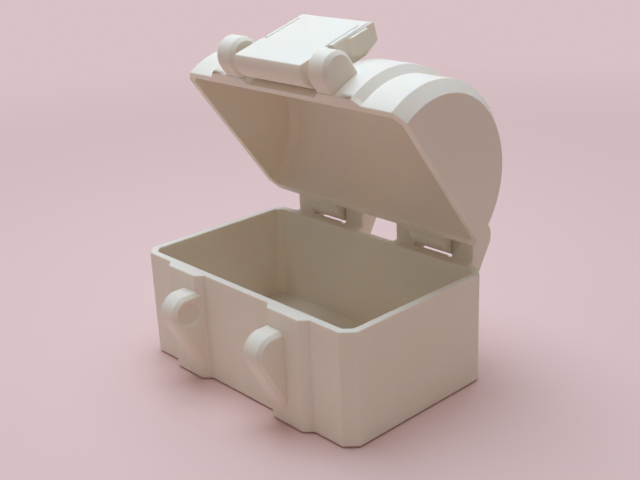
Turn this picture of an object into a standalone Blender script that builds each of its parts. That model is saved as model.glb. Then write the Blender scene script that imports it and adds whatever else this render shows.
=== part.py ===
"""Small printed treasure chest: a tub, a half-barrel lid on two pinned hinges and a snap latch.

The origin is the centre of the tub's underside. The front faces -Y and +Z is up. The chest is posed with
its lid open and its latch folded back over the lid. All sizes are in metres.
"""
import math

import bmesh
import bpy
from mathutils import Matrix

MM = 0.001

# Tub
BOX_WIDTH = 80 * MM
BOX_DEPTH = 50 * MM
BOX_HEIGHT = 30 * MM
WALL = 2 * MM
FLOOR = 2 * MM
CORNER_CHAMFER = 3 * MM

# Straps on the tub and bands over the lid share one section with 45 degree sides
STRAP_SPACING = 40 * MM
STRAP_WIDTH = 15 * MM
STRAP_HEIGHT = 2 * MM

# Clearances
RUN_GAP = 0.3 * MM
SEAT_GAP = 0.3 * MM

# Rear hinges: a lid knuckle between two arms of the tub; drops are measured down from the rim
KNUCKLE_RADIUS = 5.7 * MM
KNUCKLE_RISE = 0.1 * MM
KNUCKLE_LENGTH = 12.6 * MM
HINGE_REACH = 5.2 * MM
HINGE_RISE = 5 * MM
ARM_HEAD_RADIUS = 5 * MM
ARM_THICKNESS = 6.9 * MM
ARM_SETBACK = 2.4 * MM
ARM_LEDGE_DROP = 0.3 * MM
ARM_SLOT_DROP = 2.4 * MM
ARM_FOOT_DROP = 13 * MM
LID_OPEN_ANGLE = math.radians(53.5)

# Pins, pushed in from the left and stopped by a closed right end
PIN_RADIUS = 1 * MM
PIN_GAP = 0.3 * MM
PIN_END_WALL = 1.5 * MM

# Latch pivot: the ears stand on the lid's front lip
EAR_RADIUS = 4.8 * MM
EAR_THICKNESS = 6.6 * MM
EAR_GAP = 1.5 * MM
LATCH_REACH = 5 * MM
LATCH_RISE = 5 * MM

# Latch, measured from its pivot as it hangs closed: a neck between the ears and a flap below them
LATCH_BARREL_RADIUS = 5 * MM
LATCH_NECK_STEP = 0.35 * MM
LATCH_NECK_LENGTH = 5.6 * MM
LATCH_NECK_ROOT = 0.5 * MM
LATCH_LENGTH = 22 * MM
LATCH_BACK = 2.7 * MM
LATCH_BACK_CUT = 0.55 * MM
LATCH_FRONT = 4.6 * MM
LATCH_FRONT_SLOPE = math.radians(20)
LATCH_TIP_RADIUS = 3 * MM
LATCH_CORNER = 0.9 * MM

# Spring fingers: a slit splits each side off the flap, and its free end stands clear of the neck
SLIT_WIDTH = 0.3 * MM
SLIT_END = 17.6 * MM
FINGER_WIDTH = 1.55 * MM
FINGER_START = 6 * MM
FINGER_SLANT = 0.7

# Conical snap: a boss on each finger and a recess in each lug, both with 45 degree sides
SNAP_DROP = 15 * MM
BOSS_RADIUS = 3.9 * MM
BOSS_HEIGHT = 0.8 * MM
BOSS_ROOT = 0.5 * MM
BOSS_BACK = 2 * MM
RECESS_RADIUS = 3.7 * MM
RECESS_DEPTH = 0.8 * MM

# Lugs on the front straps
LUG_RADIUS = 5 * MM
LUG_THICKNESS = 6.7 * MM
LUG_FOOT = 3.8 * MM

# Edges: rounded on the hinge arms and knuckles, cut flat on the ears and lugs
EDGE_BEVEL = 0.5 * MM
EDGE_STEPS = 2
EDGE_ANGLE = math.radians(40)
CHEEK_CHAMFER = 1 * MM

# Finish
PLASTIC_COLOUR = (0.80, 0.79, 0.75, 1)
PLASTIC_ROUGHNESS = 0.55
SMOOTH_ANGLE = math.radians(25)

WELD = 0.001 * MM

# Facets
BARREL_STEPS = 96
ROUND_STEPS = 24
PIN_STEPS = 24
SNAP_STEPS = 48

# Places that follow from the sizes
RIM = BOX_HEIGHT + SEAT_GAP
LID_RADIUS = BOX_DEPTH / 2
LID_AXIS = (0.0, RIM)
HINGE_AXIS = (BOX_DEPTH / 2 + HINGE_REACH, RIM + HINGE_RISE)
LATCH_AXIS = (-BOX_DEPTH / 2 - LATCH_REACH, RIM + LATCH_RISE)
SNAP_CENTRE = (LATCH_AXIS[0], LATCH_AXIS[1] - SNAP_DROP)
STRAP_CENTRES = (-STRAP_SPACING / 2, STRAP_SPACING / 2)
STRAP_INNER_EDGE = STRAP_SPACING / 2 - STRAP_WIDTH / 2
LUG_INNER_FACE = STRAP_INNER_EDGE + STRAP_HEIGHT - CHEEK_CHAMFER
LATCH_WIDTH = 2 * (LUG_INNER_FACE - RUN_GAP)
LATCH_FLAP_WIDTH = LATCH_WIDTH - 2 * BOSS_HEIGHT
LATCH_NECK_WIDTH = LATCH_FLAP_WIDTH - 2 * LATCH_NECK_STEP
EAR_INNER_FACE = LATCH_NECK_WIDTH / 2 + EAR_GAP
EAR_OUTER_FACE = EAR_INNER_FACE + EAR_THICKNESS
MID_WALL = BOX_DEPTH / 2 - WALL / 2
ARM_INNER_FACE = KNUCKLE_LENGTH / 2 + RUN_GAP
ARM_OUTER_FACE = ARM_INNER_FACE + ARM_THICKNESS

# Local axes of an outline that is drawn in Y and Z and extruded along X
SIDE_ON = Matrix(((0, 0, 1, 0), (1, 0, 0, 0), (0, 1, 0, 0), (0, 0, 0, 1)))
# Local axes of an outline that is drawn in X and Z and extruded along Y
FRONT_ON = Matrix(((1, 0, 0, 0), (0, 0, -1, 0), (0, 1, 0, 0), (0, 0, 0, 1)))


def clear_scene():
    for item in list(bpy.data.objects):
        bpy.data.objects.remove(item, do_unlink=True)


def link_mesh(name, mesh):
    item = bpy.data.objects.new(name, mesh)
    bpy.context.scene.collection.objects.link(item)
    return item


def evaluated_mesh(item):
    graph = bpy.context.evaluated_depsgraph_get()
    return bpy.data.meshes.new_from_object(item.evaluated_get(graph))


def freeze(item):
    """Replace an object by a plain mesh of what its modifiers give, in the scene's axes."""
    mesh = evaluated_mesh(item)
    mesh.transform(item.matrix_world)
    name = item.name
    bpy.data.objects.remove(item, do_unlink=True)
    return link_mesh(name, mesh)


def weld(item, turn_outwards=False):
    """Join the points that coincide and, on a new solid, turn its faces outwards."""
    work = bmesh.new()
    work.from_mesh(item.data)
    bmesh.ops.remove_doubles(work, verts=work.verts, dist=WELD)
    if turn_outwards:
        bmesh.ops.recalc_face_normals(work, faces=work.faces)
    work.to_mesh(item.data)
    work.free()
    return item


def extrude_outline(name, outline, axes, start, end):
    """A flat outline, filled and extruded from start to end along the third of its axes."""
    mesh = bpy.data.meshes.new(name)
    work = bmesh.new()
    base = work.faces.new([work.verts.new((x, y, start)) for x, y in outline])
    raised = bmesh.ops.extrude_face_region(work, geom=[base])["geom"]
    corners = [element for element in raised if isinstance(element, bmesh.types.BMVert)]
    bmesh.ops.translate(work, verts=corners, vec=(0, 0, end - start))
    work.to_mesh(mesh)
    work.free()
    mesh.transform(axes)
    return weld(link_mesh(name, mesh), turn_outwards=True)


def turn_profile(name, profile, axis, steps):
    """A profile of (x, radius) points turned about a line along X through axis, given as (y, z)."""
    mesh = bpy.data.meshes.new(name)
    work = bmesh.new()
    corners = [work.verts.new((x, 0, radius)) for x, radius in profile]
    for first, second in zip(corners, corners[1:]):
        work.edges.new((first, second))
    work.to_mesh(mesh)
    work.free()
    item = link_mesh(name, mesh)
    item.location = (0, *axis)
    screw = item.modifiers.new("turn", "SCREW")
    screw.axis = "X"
    screw.steps = steps
    screw.render_steps = steps
    screw.use_merge_vertices = True
    screw.merge_threshold = WELD
    return weld(freeze(item), turn_outwards=True)


def rod(name, radius, start, end, axis, steps):
    """A round bar along X from start to end, on a line through axis, given as (y, z)."""
    bpy.ops.mesh.primitive_cylinder_add(
        vertices=steps,
        radius=radius,
        depth=end - start,
        location=((start + end) / 2, *axis),
        rotation=(0, math.pi / 2, 0),
    )
    item = bpy.context.object
    item.name = name
    return freeze(item)


def cone(name, start, start_radius, end, side, axis):
    """A blunt cone with 45 degree sides that narrows from x = start to x = end, or their mirror image."""
    end_radius = start_radius - (end - start)
    profile = [(start, 0), (start, start_radius), (end, end_radius), (end, 0)]
    return turn_profile(name, [(side * x, radius) for x, radius in profile], axis, SNAP_STEPS)


def bevelled(item, width, steps):
    """Take off the sharp edges of a block."""
    bevel = item.modifiers.new("edges", "BEVEL")
    bevel.width = width
    bevel.segments = steps
    bevel.limit_method = "ANGLE"
    bevel.angle_limit = EDGE_ANGLE
    return freeze(item)


def combine(item, tool, operation):
    """Apply one Boolean to an object and remove the tool."""
    step = item.modifiers.new(operation.lower(), "BOOLEAN")
    step.object = tool
    step.operation = operation
    step.solver = "EXACT"
    joined = freeze(item)
    bpy.data.objects.remove(tool, do_unlink=True)
    return weld(joined)


def arc(centre, radius, start, end, steps):
    """Points of a round stretch from one angle to another, in degrees."""
    points = []
    for index in range(steps + 1):
        angle = math.radians(start + (end - start) * index / steps)
        points.append((centre[0] + radius * math.cos(angle), centre[1] + radius * math.sin(angle)))
    return points


def tangent_angle(centre, radius, point, turn):
    """The angle, in degrees, of the point where a line from an outside point meets a circle."""
    across, up = point[0] - centre[0], point[1] - centre[1]
    spread = math.acos(radius / math.hypot(across, up))
    return math.degrees(math.atan2(up, across) + turn * spread)


def chamfered_plan(width, depth, chamfer):
    """A rectangle about the origin with its four corners cut off."""
    x, y = width / 2, depth / 2
    return [
        (x - chamfer, -y), (x, -y + chamfer), (x, y - chamfer), (x - chamfer, y),
        (-x + chamfer, y), (-x, y - chamfer), (-x, -y + chamfer), (-x + chamfer, -y),
    ]


def inset_chamfer(chamfer, inset):
    """The chamfer of an outline that lies one inset inside a chamfered corner."""
    return chamfer - inset * (2 - math.sqrt(2))


def tub_plan():
    """The tub's outline from above, with two straps on its front and two on its back."""
    x, y = BOX_WIDTH / 2, BOX_DEPTH / 2
    front = [(-x, -y + CORNER_CHAMFER), (-x + CORNER_CHAMFER, -y)]
    for centre in STRAP_CENTRES:
        root_left, root_right, top_right, top_left = strap_section(centre, 0)
        front += [(across, -y - out) for across, out in (root_left, top_left, top_right, root_right)]
    front += [(x - CORNER_CHAMFER, -y), (x, -y + CORNER_CHAMFER)]
    return front + [(-across, -along) for across, along in front]


def strap_section(centre, root):
    """The section of a strap across X: a flat top with 45 degree sides that run on into the wall."""
    half = STRAP_WIDTH / 2
    return [
        (centre - half - root, -root), (centre + half + root, -root),
        (centre + half - STRAP_HEIGHT, STRAP_HEIGHT), (centre - half + STRAP_HEIGHT, STRAP_HEIGHT),
    ]


def run_on(start, through, y):
    """Where the line from one point through another reaches a given y."""
    share = (y - start[0]) / (through[0] - start[0])
    return (y, start[1] + share * (through[1] - start[1]))


def round_end(centre, radius, root):
    """A round end with flat sides that run back to y = root."""
    start = 90 if root > centre[0] else -90
    nose = arc(centre, radius, start, start + 180, ROUND_STEPS)
    return [(root, nose[0][1]), *nose, (root, nose[-1][1])]


def lug_outline():
    """The side view of a lug: flat top, round nose and a straight underside down to the strap."""
    strap_face = -BOX_DEPTH / 2 - STRAP_HEIGHT
    foot = (strap_face, LUG_FOOT)
    low = tangent_angle(SNAP_CENTRE, LUG_RADIUS, foot, -1) % 360
    nose = arc(SNAP_CENTRE, LUG_RADIUS, 90, low, ROUND_STEPS)
    root = run_on(nose[-1], foot, strap_face + STRAP_HEIGHT / 2)
    return [(-MID_WALL, nose[0][1]), *nose, root, (-MID_WALL, root[1])]


def arm_outline():
    """The side view of a hinge arm: upright front, round head and a sloping underside."""
    wall = BOX_DEPTH / 2
    front = wall + ARM_SETBACK
    ledge = BOX_HEIGHT - ARM_LEDGE_DROP
    foot = (wall, BOX_HEIGHT - ARM_FOOT_DROP)
    low = tangent_angle(HINGE_AXIS, ARM_HEAD_RADIUS, foot, 1)
    high = math.degrees(math.acos((front - HINGE_AXIS[0]) / ARM_HEAD_RADIUS))
    head = arc(HINGE_AXIS, ARM_HEAD_RADIUS, low, high, ROUND_STEPS)
    return [run_on(head[0], foot, MID_WALL), *head, (front, ledge), (MID_WALL, ledge)]


def knuckle_outline():
    """The side view of a knuckle: flat top, round barrel and a flat underside just above the rim."""
    low = RIM + KNUCKLE_RISE
    meet = math.degrees(math.asin((HINGE_AXIS[1] - low) / KNUCKLE_RADIUS)) - 180
    barrel = arc(HINGE_AXIS, KNUCKLE_RADIUS, 90, meet, 2 * ROUND_STEPS)
    top = barrel[0][1]
    inside = math.sqrt((LID_RADIUS - WALL / 2) ** 2 - (top - LID_AXIS[1]) ** 2)
    return [(inside, top), *barrel, (MID_WALL, low)]


def latch_outline():
    """The side view of the latch about its pivot: barrel, flat back, round tip and sloping front."""
    back = math.degrees(math.acos(LATCH_BACK / LATCH_BARREL_RADIUS))
    front = 360 - math.degrees(math.acos(-LATCH_FRONT / LATCH_BARREL_RADIUS))
    barrel = arc((0, 0), LATCH_BARREL_RADIUS, back, front, 2 * ROUND_STEPS)
    tip_centre = (LATCH_BACK - LATCH_TIP_RADIUS, LATCH_TIP_RADIUS - LATCH_LENGTH)
    tip = arc(tip_centre, LATCH_TIP_RADIUS, math.degrees(LATCH_FRONT_SLOPE) - 180, 0, ROUND_STEPS)
    rise = (tip[0][0] + LATCH_FRONT) / math.tan(LATCH_FRONT_SLOPE)
    return [*barrel, (-LATCH_FRONT, tip[0][1] + rise), *tip]


def flap_plan():
    """The flap seen square on: straight sides below the ears and cut corners."""
    side = LATCH_FLAP_WIDTH / 2
    right = [
        (side, -LATCH_NECK_LENGTH),
        (side, LATCH_CORNER - LATCH_LENGTH),
        (side - LATCH_CORNER, -LATCH_LENGTH),
    ]
    return right + [(-x, z) for x, z in reversed(right)]


def flap_section():
    """The flap seen along its length: its back edges are cut at 45 degrees, past the flat back."""
    side, cut = LATCH_FLAP_WIDTH / 2, LATCH_BACK_CUT
    right = [(side, -2 * LATCH_FRONT), (side, LATCH_BACK - cut), (side - 2 * cut, LATCH_BACK + cut)]
    return right + [(-x, y) for x, y in reversed(right)]


def slit_plan(side):
    """The slit beside one finger, seen square on, and the notch that frees the finger's end."""
    outer = LATCH_FLAP_WIDTH / 2 - FINGER_WIDTH
    inner = outer - SLIT_WIDTH
    past = LATCH_WIDTH
    slant_end = -FINGER_START - FINGER_SLANT * (past - outer)
    right = [
        (inner, -LATCH_NECK_LENGTH), (inner, -SLIT_END), (outer, -SLIT_END),
        (outer, -FINGER_START), (past, slant_end), (past, -LATCH_NECK_LENGTH),
    ]
    return [(side * x, z) for x, z in right]


def nest_section():
    """The room between the bands, seen along the latch: front edges are cut at 45 degrees to lie in it."""
    boss = LATCH_WIDTH / 2
    cut = boss - STRAP_INNER_EDGE + RUN_GAP
    past = 2 * LATCH_WIDTH
    right = [(boss - 2 * cut, -LATCH_FRONT - cut), (boss + past, cut + past - LATCH_FRONT)]
    return right + [(-x, y) for x, y in reversed(right)]


def make_box():
    inner_plan = chamfered_plan(
        BOX_WIDTH - 2 * WALL, BOX_DEPTH - 2 * WALL, inset_chamfer(CORNER_CHAMFER, WALL)
    )
    box = extrude_outline("box", tub_plan(), Matrix(), 0, BOX_HEIGHT)
    for centre in STRAP_CENTRES:
        box = combine(box, make_hinge_arms(centre), "UNION")
    for side in (-1, 1):
        faces = sorted((side * LUG_INNER_FACE, side * (LUG_INNER_FACE + LUG_THICKNESS)))
        lug = bevelled(extrude_outline("lug", lug_outline(), SIDE_ON, *faces), CHEEK_CHAMFER, 1)
        mouth = LUG_INNER_FACE - RUN_GAP
        recess = cone(
            "recess", mouth, RECESS_RADIUS + RUN_GAP, LUG_INNER_FACE + RECESS_DEPTH, side, SNAP_CENTRE
        )
        box = combine(box, combine(lug, recess, "DIFFERENCE"), "UNION")
    hollow = extrude_outline("hollow", inner_plan, Matrix(), FLOOR, 2 * BOX_HEIGHT)
    return combine(box, hollow, "DIFFERENCE")


def make_hinge_arms(centre):
    """Two arms of one hinge, cut from one block, with a bore that stops short of the right face."""
    block = extrude_outline(
        "hinge_arms", arm_outline(), SIDE_ON, centre - ARM_OUTER_FACE, centre + ARM_OUTER_FACE
    )
    block = bevelled(block, EDGE_BEVEL, EDGE_STEPS)
    slot_floor = BOX_HEIGHT - ARM_SLOT_DROP
    slot_back = HINGE_AXIS[0] + 2 * KNUCKLE_RADIUS
    slot_top = HINGE_AXIS[1] + 2 * KNUCKLE_RADIUS
    slot_outline = [
        (BOX_DEPTH / 2, slot_floor), (slot_back, slot_floor),
        (slot_back, slot_top), (BOX_DEPTH / 2, slot_top),
    ]
    slot = extrude_outline(
        "slot", slot_outline, SIDE_ON, centre - ARM_INNER_FACE, centre + ARM_INNER_FACE
    )
    block = combine(block, slot, "DIFFERENCE")
    bore = rod(
        "bore",
        PIN_RADIUS + PIN_GAP,
        centre - 2 * ARM_OUTER_FACE,
        centre + ARM_OUTER_FACE - PIN_END_WALL,
        HINGE_AXIS,
        PIN_STEPS,
    )
    return combine(block, bore, "DIFFERENCE")


def barrel_profile(inset):
    """Half of the lid's chamfered barrel, turned about the lid's axis, one inset inside its skin."""
    end = BOX_WIDTH / 2 - inset
    radius = LID_RADIUS - inset
    chamfer = inset_chamfer(CORNER_CHAMFER, inset)
    right = [(end - chamfer, radius), (end, radius - chamfer), (end, 0)]
    return [(-x, r) for x, r in reversed(right)] + right


def make_lid():
    lid = turn_profile("lid", barrel_profile(0), LID_AXIS, BARREL_STEPS)
    for centre in STRAP_CENTRES:
        section = strap_section(centre, WALL / 2)
        ring = [(x, LID_RADIUS + out) for x, out in section]
        band = turn_profile("band", ring + ring[:1], LID_AXIS, BARREL_STEPS)
        lid = combine(lid, band, "UNION")
        swing = rod(
            "swing",
            ARM_HEAD_RADIUS + RUN_GAP,
            centre - ARM_OUTER_FACE - RUN_GAP,
            centre + ARM_OUTER_FACE + RUN_GAP,
            HINGE_AXIS,
            2 * ROUND_STEPS,
        )
        lid = combine(lid, swing, "DIFFERENCE")
    below = extrude_outline(
        "below", chamfered_plan(2 * BOX_WIDTH, 2 * BOX_DEPTH, CORNER_CHAMFER), Matrix(), -BOX_DEPTH, RIM
    )
    lid = combine(lid, below, "DIFFERENCE")
    hollow = turn_profile("hollow", barrel_profile(WALL), LID_AXIS, BARREL_STEPS)
    lid = combine(lid, hollow, "DIFFERENCE")
    for centre in STRAP_CENTRES:
        lid = combine(lid, make_lid_knuckle(centre), "UNION")
        ear = make_ear(1 if centre > 0 else -1)
        lid = combine(lid, ear, "UNION")
    for centre in STRAP_CENTRES:
        ends = (centre - KNUCKLE_LENGTH, centre + KNUCKLE_LENGTH)
        bore = rod("bore", PIN_RADIUS + PIN_GAP, *ends, HINGE_AXIS, PIN_STEPS)
        lid = combine(lid, bore, "DIFFERENCE")
    ends = (-2 * EAR_OUTER_FACE, EAR_OUTER_FACE - PIN_END_WALL)
    bore = rod("bore", PIN_RADIUS + PIN_GAP, *ends, LATCH_AXIS, PIN_STEPS)
    return combine(lid, bore, "DIFFERENCE")


def make_lid_knuckle(centre):
    ends = (centre - KNUCKLE_LENGTH / 2, centre + KNUCKLE_LENGTH / 2)
    return bevelled(extrude_outline("knuckle", knuckle_outline(), SIDE_ON, *ends), EDGE_BEVEL, EDGE_STEPS)


def make_ear(side):
    outline = round_end(LATCH_AXIS, EAR_RADIUS, -MID_WALL)
    ends = sorted((side * EAR_INNER_FACE, side * EAR_OUTER_FACE))
    return bevelled(extrude_outline("ear", outline, SIDE_ON, *ends), CHEEK_CHAMFER, 1)


def make_boss(side):
    """The blunt cone on one finger, about the latch's pivot, cut off short of the flap's back."""
    root = LATCH_FLAP_WIDTH / 2 - BOSS_ROOT
    boss = cone("boss", root, BOSS_RADIUS + BOSS_ROOT, LATCH_WIDTH / 2, side, (0, -SNAP_DROP))
    reach = 2 * LATCH_LENGTH
    below_back = [(-reach, -reach), (BOSS_BACK, -reach), (BOSS_BACK, reach), (-reach, reach)]
    return combine(boss, extrude_outline("below_back", below_back, SIDE_ON, -reach, reach), "INTERSECT")


def make_latch():
    """Neck, flap and bosses, cut to one side view, then a finger split off each side and a bore."""
    reach = 2 * LATCH_LENGTH
    latch = extrude_outline("latch", flap_plan(), FRONT_ON, -reach, reach)
    section = extrude_outline("section", flap_section(), Matrix(), -reach, reach)
    latch = combine(latch, section, "INTERSECT")
    for side in (-1, 1):
        latch = combine(latch, make_boss(side), "UNION")
    nest = extrude_outline("nest", nest_section(), Matrix(), -reach, reach)
    latch = combine(latch, nest, "INTERSECT")
    neck_end = -LATCH_NECK_LENGTH - LATCH_NECK_ROOT
    neck_outline = [(-reach, neck_end), (reach, neck_end), (reach, reach), (-reach, reach)]
    neck = extrude_outline("neck", neck_outline, SIDE_ON, -LATCH_NECK_WIDTH / 2, LATCH_NECK_WIDTH / 2)
    latch = combine(latch, neck, "UNION")
    side_view = extrude_outline("side_view", latch_outline(), SIDE_ON, -LATCH_WIDTH, LATCH_WIDTH)
    latch = combine(latch, side_view, "INTERSECT")
    for side in (-1, 1):
        slit = extrude_outline("slit", slit_plan(side), FRONT_ON, -reach, reach)
        latch = combine(latch, slit, "DIFFERENCE")
    latch.data.transform(Matrix.Translation((0, *LATCH_AXIS)))
    bore = rod("bore", PIN_RADIUS + PIN_GAP, -LATCH_WIDTH, LATCH_WIDTH, LATCH_AXIS, PIN_STEPS)
    return combine(latch, bore, "DIFFERENCE")


def make_pin(name, centre, half_length, axis):
    """A pin that lies just inside the open left face and stops at the closed right end."""
    start = centre - half_length + PIN_GAP
    end = centre + half_length - PIN_END_WALL - PIN_GAP
    return rod(name, PIN_RADIUS, start, end, axis, PIN_STEPS)


def latch_fold_angle():
    """How far the latch turns from closed until its front lies one gap above the lid's barrel."""
    across = LID_AXIS[0] - LATCH_AXIS[0]
    up = LATCH_AXIS[1] - LID_AXIS[1]
    reach = LID_RADIUS + LATCH_FRONT + RUN_GAP
    return math.pi + math.atan2(up, across) + math.acos(reach / math.hypot(across, up))


def pivot(name, axis, parent, parent_axis):
    """An empty on a joint's axis, placed from its parent's axis."""
    item = bpy.data.objects.new(name, None)
    bpy.context.scene.collection.objects.link(item)
    item.empty_display_size = KNUCKLE_RADIUS
    item.parent = parent
    item.location = (0, axis[0] - parent_axis[0], axis[1] - parent_axis[1])
    return item


def hang(item, parent, axis):
    """Give a piece that was modelled closed its origin on the axis of the pivot that carries it."""
    item.data.transform(Matrix.Translation((0, -axis[0], -axis[1])))
    item.parent = parent


def plastic(name):
    """Matt white printed plastic."""
    material = bpy.data.materials.new(name)
    material.use_nodes = True
    shader = material.node_tree.nodes["Principled BSDF"]
    shader.inputs["Base Color"].default_value = PLASTIC_COLOUR
    shader.inputs["Roughness"].default_value = PLASTIC_ROUGHNESS
    shader.inputs["Metallic"].default_value = 0
    return material


def finish(item, collection):
    item.data.materials.clear()
    item.data.materials.append(plastic(item.name + "_plastic"))
    item.data.shade_smooth()
    item.data.set_sharp_from_angle(angle=SMOOTH_ANGLE)
    for other in item.users_collection:
        other.objects.unlink(item)
    collection.objects.link(item)


def build():
    clear_scene()
    collection = bpy.data.collections.new("treasure_chest")
    bpy.context.scene.collection.children.link(collection)

    box = make_box()
    lid = make_lid()
    latch = make_latch()
    left, right = STRAP_CENTRES
    hinge_pins = [
        make_pin("hinge_pin_left", left, ARM_OUTER_FACE, HINGE_AXIS),
        make_pin("hinge_pin_right", right, ARM_OUTER_FACE, HINGE_AXIS),
    ]
    latch_pin = make_pin("latch_pin", 0, EAR_OUTER_FACE, LATCH_AXIS)

    lid_pivot = pivot("lid_pivot", HINGE_AXIS, None, (0, 0))
    latch_pivot = pivot("latch_pivot", LATCH_AXIS, lid_pivot, HINGE_AXIS)
    lid_pivot.rotation_euler.x = -LID_OPEN_ANGLE
    latch_pivot.rotation_euler.x = -latch_fold_angle()
    hang(lid, lid_pivot, HINGE_AXIS)
    hang(latch_pin, lid_pivot, HINGE_AXIS)
    hang(latch, latch_pivot, LATCH_AXIS)

    for item in (box, lid, latch, *hinge_pins, latch_pin):
        finish(item, collection)
    bpy.context.view_layer.update()


build()
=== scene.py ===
import math

import bmesh
import bpy
from mathutils import Matrix, Vector, geometry
from mathutils.bvhtree import BVHTree


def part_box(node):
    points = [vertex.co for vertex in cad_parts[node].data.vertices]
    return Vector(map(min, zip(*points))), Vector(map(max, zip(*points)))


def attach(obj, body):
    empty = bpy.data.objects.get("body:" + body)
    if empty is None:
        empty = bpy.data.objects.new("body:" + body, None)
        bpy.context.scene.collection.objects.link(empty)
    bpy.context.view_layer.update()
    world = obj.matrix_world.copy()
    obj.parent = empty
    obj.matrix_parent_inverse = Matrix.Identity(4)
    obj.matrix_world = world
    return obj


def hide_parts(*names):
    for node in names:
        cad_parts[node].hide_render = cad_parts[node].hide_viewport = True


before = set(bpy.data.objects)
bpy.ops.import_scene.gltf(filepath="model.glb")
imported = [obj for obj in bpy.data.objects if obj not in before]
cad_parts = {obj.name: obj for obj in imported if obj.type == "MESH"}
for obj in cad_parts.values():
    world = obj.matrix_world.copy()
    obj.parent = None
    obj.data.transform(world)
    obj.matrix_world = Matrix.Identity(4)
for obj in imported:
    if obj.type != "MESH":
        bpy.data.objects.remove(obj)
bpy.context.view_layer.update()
mm = 0.001
print("frame loaded:", ", ".join(sorted(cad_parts)))


def linear(hexColour):  # sRGB hex to the linear colour that sockets take
    parts = [int(hexColour[i:i + 2], 16) / 255 for i in (1, 3, 5)]
    return (*[p / 12.92 if p <= 0.04045 else ((p + 0.055) / 1.055) ** 2.4 for p in parts], 1.0)


def addNode(tree, kind, settings=None, inputs=None):  # an input that is a socket gets a link
    node = tree.nodes.new(kind)
    for name, value in (settings or {}).items():
        setattr(node, name, value)
    for name, value in (inputs or {}).items():
        if isinstance(value, bpy.types.NodeSocket):
            tree.links.new(value, node.inputs[name])
        else:
            node.inputs[name].default_value = value
    return node


# camera: photo's angle, solved from the tub's corners
cameraSetup = {
    "place": (0.18375, -0.16440, 0.12959),
    "azimuth": 47.39,
    "elevation": 20.89,
    "roll": -2.39,
    "lens": 56.27,
}


def makeCamera(setup):
    turn, lift, roll = (math.radians(setup[k]) for k in ("azimuth", "elevation", "roll"))
    back = Vector((math.sin(turn) * math.cos(lift), -math.cos(turn) * math.cos(lift), math.sin(lift)))
    level = Vector((math.cos(turn), math.sin(turn), 0))
    rise = back.cross(level)
    right = level * math.cos(roll) + rise * math.sin(roll)
    up = rise * math.cos(roll) - level * math.sin(roll)
    data = bpy.data.cameras.new("photoCamera")
    data.sensor_fit = "HORIZONTAL"
    data.sensor_width = 36
    data.lens = setup["lens"]
    data.clip_start = 0.01
    data.clip_end = 20
    camera = bpy.data.objects.new("photoCamera", data)
    bpy.context.scene.collection.objects.link(camera)
    axes = Matrix((right, up, back)).transposed().to_4x4()
    camera.matrix_world = Matrix.Translation(setup["place"]) @ axes
    bpy.context.scene.camera = camera


makeCamera(cameraSetup)
print("camera set")


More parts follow.
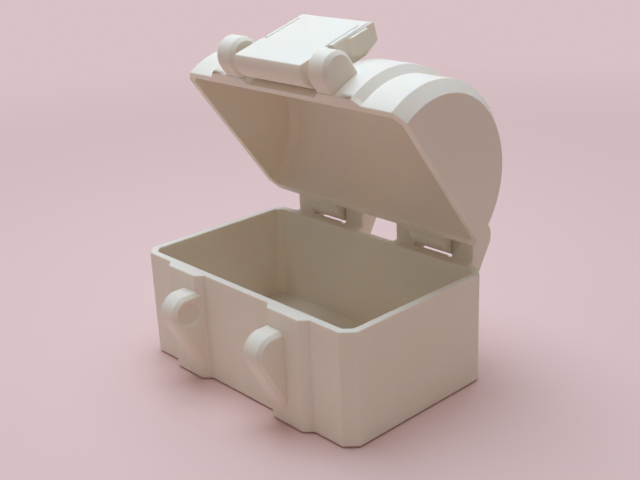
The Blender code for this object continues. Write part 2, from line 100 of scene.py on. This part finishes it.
# PLA, printed in fine layers: matt white with a soft broad sheen, faint lines along the layers on the walls
# and diagonal strokes on faces that lay flat in the printer, and a little light let through its thin walls
def printedPla(name, look):
    material = bpy.data.materials.new(name)
    material.use_nodes = True
    tree = material.node_tree
    tree.nodes.clear()
    place = addNode(tree, "ShaderNodeTexCoord")
    # turned so that Z is the way up in which the piece was printed
    bed = addNode(tree, "ShaderNodeMapping", None, {
        "Vector": place.outputs["Object"],
        "Rotation": (math.radians(look["printTilt"]), 0, 0),
    })
    bedNormal = addNode(tree, "ShaderNodeMapping", {"vector_type": "NORMAL"}, {
        "Vector": place.outputs["Normal"],
        "Rotation": (math.radians(look["printTilt"]), 0, 0),
    })
    axes = addNode(tree, "ShaderNodeSeparateXYZ", None, {"Vector": bedNormal.outputs["Vector"]})
    upright = addNode(tree, "ShaderNodeMath", {"operation": "ABSOLUTE"}, {0: axes.outputs["Z"]})
    flat = addNode(tree, "ShaderNodeMapRange", None, {
        "Value": upright.outputs[0], "From Min": 0.97, "From Max": 0.995,
    })
    # a band repeats every 0.314 / scale; real layers are 0.2 mm and strokes 0.45 mm, drawn coarser to show
    layers = addNode(tree, "ShaderNodeTexWave", {"bands_direction": "Z"}, {
        "Vector": bed.outputs["Vector"],
        "Scale": 0.314 / (look["layerStep"] * mm),
        "Distortion": 0.6,
        "Detail": 1.0,
        "Detail Scale": 0.4,
    })
    strokeTurn = addNode(tree, "ShaderNodeMapping", None, {
        "Vector": bed.outputs["Vector"],
        "Rotation": (0, 0, math.radians(45)),
    })
    strokes = addNode(tree, "ShaderNodeTexWave", {"bands_direction": "X"}, {
        "Vector": strokeTurn.outputs["Vector"],
        "Scale": 0.314 / (look["strokeStep"] * mm),
        "Distortion": 0.4,
    })
    lines = addNode(tree, "ShaderNodeMix", {"data_type": "FLOAT"}, {
        "Factor": flat.outputs["Result"], "A": layers.outputs["Fac"], "B": strokes.outputs["Fac"],
    })
    # grain of about 0.4 mm and cloudy patches of about 15 mm
    grain = addNode(tree, "ShaderNodeTexNoise", None, {
        "Vector": bed.outputs["Vector"], "Scale": 1 / (0.4 * mm), "Detail": 3.0, "Roughness": 0.6,
    })
    patches = addNode(tree, "ShaderNodeTexNoise", None, {
        "Vector": bed.outputs["Vector"], "Scale": 1 / (15 * mm), "Detail": 2.0, "Roughness": 0.5,
    })
    tone = addNode(tree, "ShaderNodeMix", {"data_type": "RGBA"}, {
        "Factor": patches.outputs["Fac"],
        "A": linear(look["shade"]),
        "B": linear(look["colour"]),
    })
    gloss = addNode(tree, "ShaderNodeMapRange", None, {
        "Value": grain.outputs["Fac"],
        "From Min": 0.3, "From Max": 0.7,
        "To Min": look["roughness"] - 0.05, "To Max": look["roughness"] + 0.07,
    })
    ridges = addNode(tree, "ShaderNodeBump", None, {
        "Strength": look["lineStrength"], "Distance": 0.03 * mm, "Height": lines.outputs["Result"],
    })
    speckle = addNode(tree, "ShaderNodeBump", None, {
        "Strength": 0.12, "Distance": 0.03 * mm, "Height": grain.outputs["Fac"],
        "Normal": ridges.outputs["Normal"],
    })
    shader = addNode(tree, "ShaderNodeBsdfPrincipled", None, {
        "Base Color": tone.outputs["Result"],
        "Roughness": gloss.outputs["Result"],
        "Normal": speckle.outputs["Normal"],
        "IOR": 1.46,
        "Subsurface Weight": 0.35,
        "Subsurface Radius": (1.0, 0.72, 0.42),
        "Subsurface Scale": 2.0 * mm,
    })
    addNode(tree, "ShaderNodeOutputMaterial", None, {"Surface": shader.outputs["BSDF"]})
    return material


# how edges are rounded: angles in degrees, lengths in mm
edgeRules = {
    "flatUnder": 0.3,
    "sharpFrom": 25,
    "fullFrom": 50,  # below this it is the edge of a chamfer
    "chamferShare": 0.4,  # of the full rounding
    "roomShare": 0.42,  # of a face, for one of its edges
    "mergeUnder": 0.08,  # edges too short to round
    "weldUnder": 0.004,
    "tries": 9,
}


# one face for each flat, or two where it has a hole, so that only true edges are left to round
def joinFlats(work):
    flat = math.radians(edgeRules["flatUnder"])
    flatEdges = [edge for edge in work.edges if edge.calc_face_angle(1) < flat]
    for edge in sorted(flatEdges, key=lambda e: -e.calc_length()):
        if edge.is_valid and len(edge.link_faces) == 2:
            first, second = edge.link_faces
            shared = set(first.edges) & set(second.edges)
            ends = [v for e in shared for v in e.verts]
            loose = [v for v in ends if ends.count(v) == 1]
            if len(loose) == 2:
                bmesh.utils.face_join((first, second))
    straight = [
        v for v in work.verts
        if len(v.link_edges) == 2 and v.calc_edge_angle(1) < flat
    ]
    bmesh.ops.dissolve_verts(work, verts=straight)


def nearestOn(edge, spot):
    start, end = (v.co for v in edge.verts)
    share = geometry.intersect_point_line(spot, start, end)[1]
    return start.lerp(end, min(max(share, 0), 1))


# how far a face reaches inwards from the middle of one of its edges
def roomBeside(edge, face):
    loop = next(l for l in face.loops if l.edge == edge)
    start, end = loop.vert.co, loop.link_loop_next.vert.co
    middle = (start + end) / 2
    along = (end - start).normalized()
    inward = face.normal.cross(along)
    room = 1.0
    for other in face.edges:
        if set(other.verts) & set(edge.verts):
            continue
        step = nearestOn(other, middle) - middle
        depth = step.dot(inward)
        if depth > 0.5 * abs(step.dot(along)):
            room = min(room, depth)
    return room


# where rounding without room has turned a triangle against its face or the surface it came from
def foldedSpots(mesh, before):
    spots = []
    mesh.calc_loop_triangles()
    for part in mesh.loop_triangles:
        corners = [mesh.vertices[i].co for i in part.vertices]
        surface = before.find_nearest(sum(corners, Vector()) / 3)[1]
        whole = mesh.polygons[part.polygon_index].normal
        if part.area > 1e-9 and (part.normal.dot(whole) < 0.5 or part.normal.dot(surface) < -0.2):
            first, second = min(zip(corners, corners[1:] + corners[:1]), key=lambda s: (s[0] - s[1]).length)
            spots.append((first + second) / 2)
    return spots


# copy of a CAD node with its outer edges rounded, as a printed edge comes out
def roundedCopy(name, node, look):
    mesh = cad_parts[node].data.copy()
    work = bmesh.new()
    work.from_mesh(mesh)
    bmesh.ops.remove_doubles(work, verts=work.verts, dist=edgeRules["mergeUnder"] * mm)
    joinFlats(work)
    weights = work.edges.layers.float.new("bevel_weight_edge")
    width = look["edgeRound"] * mm
    marked = 0
    for face in work.faces:
        face.smooth = True
    for edge in work.edges:
        angle = math.degrees(edge.calc_face_angle(0))
        edge.smooth = angle < edgeRules["sharpFrom"]
        if not edge.is_convex or angle < look["roundFrom"]:
            continue
        # edges of a chamfer get less, and narrow strips, already rounded in the CAD, stay as they are
        wanted = 1.0 if angle > edgeRules["fullFrom"] else edgeRules["chamferShare"]
        room = min(roomBeside(edge, face) for face in edge.link_faces)
        if edgeRules["roomShare"] * room > wanted * width:
            edge[weights] = wanted
            edge.smooth = True
            marked += 1
    piece = bpy.data.objects.new(name, mesh)
    bpy.context.scene.collection.objects.link(piece)
    bevel = piece.modifiers.new("edges", "BEVEL")
    bevel.limit_method = "WEIGHT"
    bevel.width = width
    bevel.segments = look["edgeSteps"]
    bevel.use_clamp_overlap = False
    weld = piece.modifiers.new("weld", "WELD")
    weld.merge_threshold = edgeRules["weldUnder"] * mm
    normals = piece.modifiers.new("normals", "WEIGHTED_NORMAL")
    normals.keep_sharp = True
    before = BVHTree.FromBMesh(work)
    # a rounding that folds a face is halved, then left out
    for _ in range(edgeRules["tries"]):
        work.to_mesh(mesh)
        mesh.update()
        graph = bpy.context.evaluated_depsgraph_get()
        finished = bpy.data.meshes.new_from_object(piece.evaluated_get(graph))
        folds = foldedSpots(finished, before)
        if not folds:
            break
        for edge in work.edges:
            if edge[weights] and any((nearestOn(edge, s) - s).length < 2 * width for s in folds):
                edge[weights] = edge[weights] / 2 if edge[weights] > 0.3 else 0.0
                if not edge[weights]:
                    edge.smooth = edge.calc_face_angle(0) < math.radians(edgeRules["sharpFrom"])
                    marked -= 1
    work.free()
    piece.modifiers.clear()
    piece.data = finished
    finished.materials.clear()
    finished.materials.append(printedPla(name + "Pla", look))
    print(f"{name}: {marked} edges rounded, {len(finished.polygons)} faces, {len(folds)} folds left")
    return piece


tubLook = {
    "edgeRound": 0.3, "edgeSteps": 3, "roundFrom": 35,  # mm, steps, degrees
    "printTilt": 0,
    "layerStep": 0.6, "strokeStep": 0.9, "lineStrength": 0.12,
    "colour": "#F9F0E2", "shade": "#F5EAD8", "roughness": 0.5,
}
tub = roundedCopy("tubShell", "box", tubLook)
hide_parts("box")
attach(tub, "box")

lidLook = {
    "edgeRound": 0.3, "edgeSteps": 3, "roundFrom": 35,
    "printTilt": 53.5,  # lid stands open by this, and was printed shut
    "layerStep": 0.6, "strokeStep": 0.9, "lineStrength": 0.12,
    "colour": "#F9F0E2", "shade": "#F5EAD8", "roughness": 0.5,
}
lid = roundedCopy("barrelLid", "lid", lidLook)
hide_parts("lid")
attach(lid, "lid")

latchLook = {
    "edgeRound": 0.3, "edgeSteps": 3, "roundFrom": 35,
    "printTilt": 163.5,
    "layerStep": 0.6, "strokeStep": 0.9, "lineStrength": 0.12,
    "colour": "#F9F0E2", "shade": "#F5EAD8", "roughness": 0.5,
}
latch = roundedCopy("snapLatch", "latch", latchLook)
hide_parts("latch")
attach(latch, "latch")


pinLook = {
    "printTilt": 0,
    "layerStep": 0.6, "strokeStep": 0.9, "lineStrength": 0.08,
    "colour": "#F5ECDD", "shade": "#F0E5D3", "roughness": 0.45,
    "endCut": 0.25, "sides": 32,  # mm
}


# row of equal pins along X, each swept along a line of four points, the outer two drawn in for the end cuts
def pinRowTree():
    tree = bpy.data.node_groups.new("pinRow", "GeometryNodeTree")
    kinds = {
        "Length": "Float", "Radius": "Float", "End Cut": "Float", "Sides": "Int",
        "Count": "Int", "First": "Vector", "Spacing": "Vector", "Material": "Material",
    }
    for socket, kind in kinds.items():
        tree.interface.new_socket(name=socket, in_out="INPUT", socket_type="NodeSocket" + kind)
    tree.interface.new_socket(name="Mesh", in_out="OUTPUT", socket_type="NodeSocketGeometry")
    given = addNode(tree, "NodeGroupInput").outputs

    def calc(operation, first, second=0.0):
        return addNode(tree, "ShaderNodeMath", {"operation": operation}, {0: first, 1: second}).outputs[0]

    index = addNode(tree, "GeometryNodeInputIndex").outputs[0]
    fromMiddle = calc("SUBTRACT", index, 1.5)
    isInner = calc("LESS_THAN", calc("ABSOLUTE", fromMiddle), 1.0)
    half = calc("MULTIPLY", given["Length"], 0.5)
    reach = calc("SUBTRACT", half, calc("MULTIPLY", given["End Cut"], isInner))
    across = calc("MULTIPLY", calc("SIGN", fromMiddle), reach)
    isOuter = calc("SUBTRACT", 1.0, isInner)
    narrow = calc("MULTIPLY", isOuter, calc("DIVIDE", given["End Cut"], given["Radius"]))
    line = addNode(tree, "GeometryNodeCurvePrimitiveLine", None, {"End": (1, 0, 0)})
    points = addNode(tree, "GeometryNodeResampleCurve", None, {"Curve": line.outputs[0], "Count": 4})
    spot = addNode(tree, "ShaderNodeCombineXYZ", None, {"X": across})
    path = addNode(tree, "GeometryNodeSetPosition", None, {
        "Geometry": points.outputs[0], "Position": spot.outputs[0],
    })
    ring = addNode(tree, "GeometryNodeCurvePrimitiveCircle", None, {
        "Resolution": given["Sides"], "Radius": given["Radius"],
    })
    pin = addNode(tree, "GeometryNodeCurveToMesh", None, {
        "Curve": path.outputs[0], "Profile Curve": ring.outputs[0],
        "Scale": calc("SUBTRACT", 1.0, narrow), "Fill Caps": True,
    })
    places = addNode(tree, "GeometryNodeMeshLine", None, {
        "Count": given["Count"], "Start Location": given["First"], "Offset": given["Spacing"],
    })
    row = addNode(tree, "GeometryNodeInstanceOnPoints", None, {
        "Points": places.outputs[0], "Instance": pin.outputs[0],
    })
    real = addNode(tree, "GeometryNodeRealizeInstances", None, {"Geometry": row.outputs[0]})
    done = addNode(tree, "GeometryNodeSetMaterial", None, {
        "Geometry": real.outputs[0], "Material": given["Material"],
    })
    addNode(tree, "NodeGroupOutput", None, {"Mesh": done.outputs[0]})
    return tree


def makePins(name, nodes, tree, look):
    boxes = [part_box(node) for node in nodes]
    middles = [(Vector(low) + Vector(high)) / 2 for low, high in boxes]
    low, high = boxes[0]
    values = {
        "Length": high[0] - low[0],
        "Radius": (high[2] - low[2]) / 2,
        "End Cut": look["endCut"] * mm,
        "Sides": look["sides"],
        "Count": len(nodes),
        "First": middles[0],
        "Spacing": middles[-1] - middles[0],
        "Material": printedPla(name + "Pla", look),
    }
    piece = bpy.data.objects.new(name, bpy.data.meshes.new(name))
    bpy.context.scene.collection.objects.link(piece)
    rows = piece.modifiers.new("pinRow", "NODES")
    rows.node_group = tree
    for item in tree.interface.items_tree:
        if item.in_out == "INPUT":
            rows[item.identifier] = values[item.name]
    graph = bpy.context.evaluated_depsgraph_get()
    piece.data = bpy.data.meshes.new_from_object(piece.evaluated_get(graph))
    piece.modifiers.clear()
    piece.data.set_sharp_from_angle(angle=math.radians(30))
    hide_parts(*nodes)
    return piece


pins = pinRowTree()
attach(makePins("hingePins", ("hinge_pin_left", "hinge_pin_right"), pins, pinLook), "box")
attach(makePins("latchPin", ("latch_pin",), pins, pinLook), "lid")
print("pins finished")


# stage: plain pale floor that the background runs on from, and soft light from above
stageSetup = {
    "floor": "#F2CEC6",
    "backdrop": "#D9C2C6",  # floor as it looks near the chest
    "floorSize": 8.0,
    "floorDrop": 0.4,  # mm under the tub, keeps its shadow line
    "worldLight": 0.24,
}


def seenByEye(tree):
    path = addNode(tree, "ShaderNodeLightPath").outputs
    direct = addNode(tree, "ShaderNodeMath", {"operation": "MAXIMUM"}, {
        0: path["Is Camera Ray"], 1: path["Is Glossy Ray"],
    })
    return addNode(tree, "ShaderNodeMath", {"operation": "MAXIMUM"}, {
        0: direct.outputs[0], 1: path["Is Transmission Ray"],
    }).outputs[0]


def makeFloor(setup):
    bpy.ops.mesh.primitive_plane_add(size=setup["floorSize"], location=(0, 0, -setup["floorDrop"] * mm))
    floor = bpy.context.object
    floor.name = "paleFloor"
    material = bpy.data.materials.new("matt card")
    material.use_nodes = True
    tree = material.node_tree
    tree.nodes.clear()
    card = addNode(tree, "ShaderNodeBsdfPrincipled", None, {
        "Base Color": linear(setup["floor"]), "Roughness": 0.6,
    })
    # away from the chest and its shadow the eye sees the backdrop's colour, which lights nothing
    far = addNode(tree, "ShaderNodeEmission", None, {"Color": linear(setup["backdrop"])})
    place = addNode(tree, "ShaderNodeTexCoord")
    reach = addNode(tree, "ShaderNodeVectorMath", {"operation": "LENGTH"}, {0: place.outputs["Object"]})
    fade = addNode(tree, "ShaderNodeMapRange", {"interpolation_type": "SMOOTHSTEP"}, {
        "Value": reach.outputs["Value"], "From Min": 0.1, "From Max": 0.45,
    })
    shown = addNode(tree, "ShaderNodeMath", {"operation": "MULTIPLY"}, {
        0: fade.outputs["Result"], 1: seenByEye(tree),
    })
    mixed = addNode(tree, "ShaderNodeMixShader", None, {
        0: shown.outputs[0], 1: card.outputs["BSDF"], 2: far.outputs["Emission"],
    })
    addNode(tree, "ShaderNodeOutputMaterial", None, {"Surface": mixed.outputs["Shader"]})
    floor.data.materials.append(material)


def makeWorld(setup):
    world = bpy.data.worlds.new("paleRoom")
    bpy.context.scene.world = world
    world.use_nodes = True
    tree = world.node_tree
    tree.nodes.clear()
    light = addNode(tree, "ShaderNodeBackground", None, {
        "Color": linear("#FFFAF4"), "Strength": setup["worldLight"],
    })
    backdrop = addNode(tree, "ShaderNodeBackground", None, {
        "Color": linear(setup["backdrop"]), "Strength": 1.0,
    })
    mixed = addNode(tree, "ShaderNodeMixShader", None, {
        0: seenByEye(tree), 1: light.outputs["Background"], 2: backdrop.outputs["Background"],
    })
    addNode(tree, "ShaderNodeOutputWorld", None, {"Surface": mixed.outputs["Shader"]})


# key from above and a little behind, cool as the photo's window light, and a faint warm fill
lampSetups = {
    "topSoftbox": {"place": (-0.08, 0.05, 0.48), "size": 0.45, "watts": 2.2, "colour": "#D4E9FF"},
    "frontFill": {"place": (-0.30, -0.42, 0.60), "size": 0.5, "watts": 0.12, "colour": "#FFF2E6"},
}


def addLamp(name, setup, target):
    data = bpy.data.lights.new(name, "AREA")
    data.shape = "DISK"
    data.size = setup["size"]
    data.energy = setup["watts"]
    data.color = linear(setup["colour"])[:3]
    lamp = bpy.data.objects.new(name, data)
    bpy.context.scene.collection.objects.link(lamp)
    lamp.location = setup["place"]
    lamp.rotation_euler = (target - lamp.location).to_track_quat("-Z", "Y").to_euler()


makeFloor(stageSetup)
makeWorld(stageSetup)
for lampName, lampSetup in lampSetups.items():
    addLamp(lampName, lampSetup, Vector((0, 0, 0.03)))
bpy.context.scene.view_settings.view_transform = "Standard"
print("stage and light set")
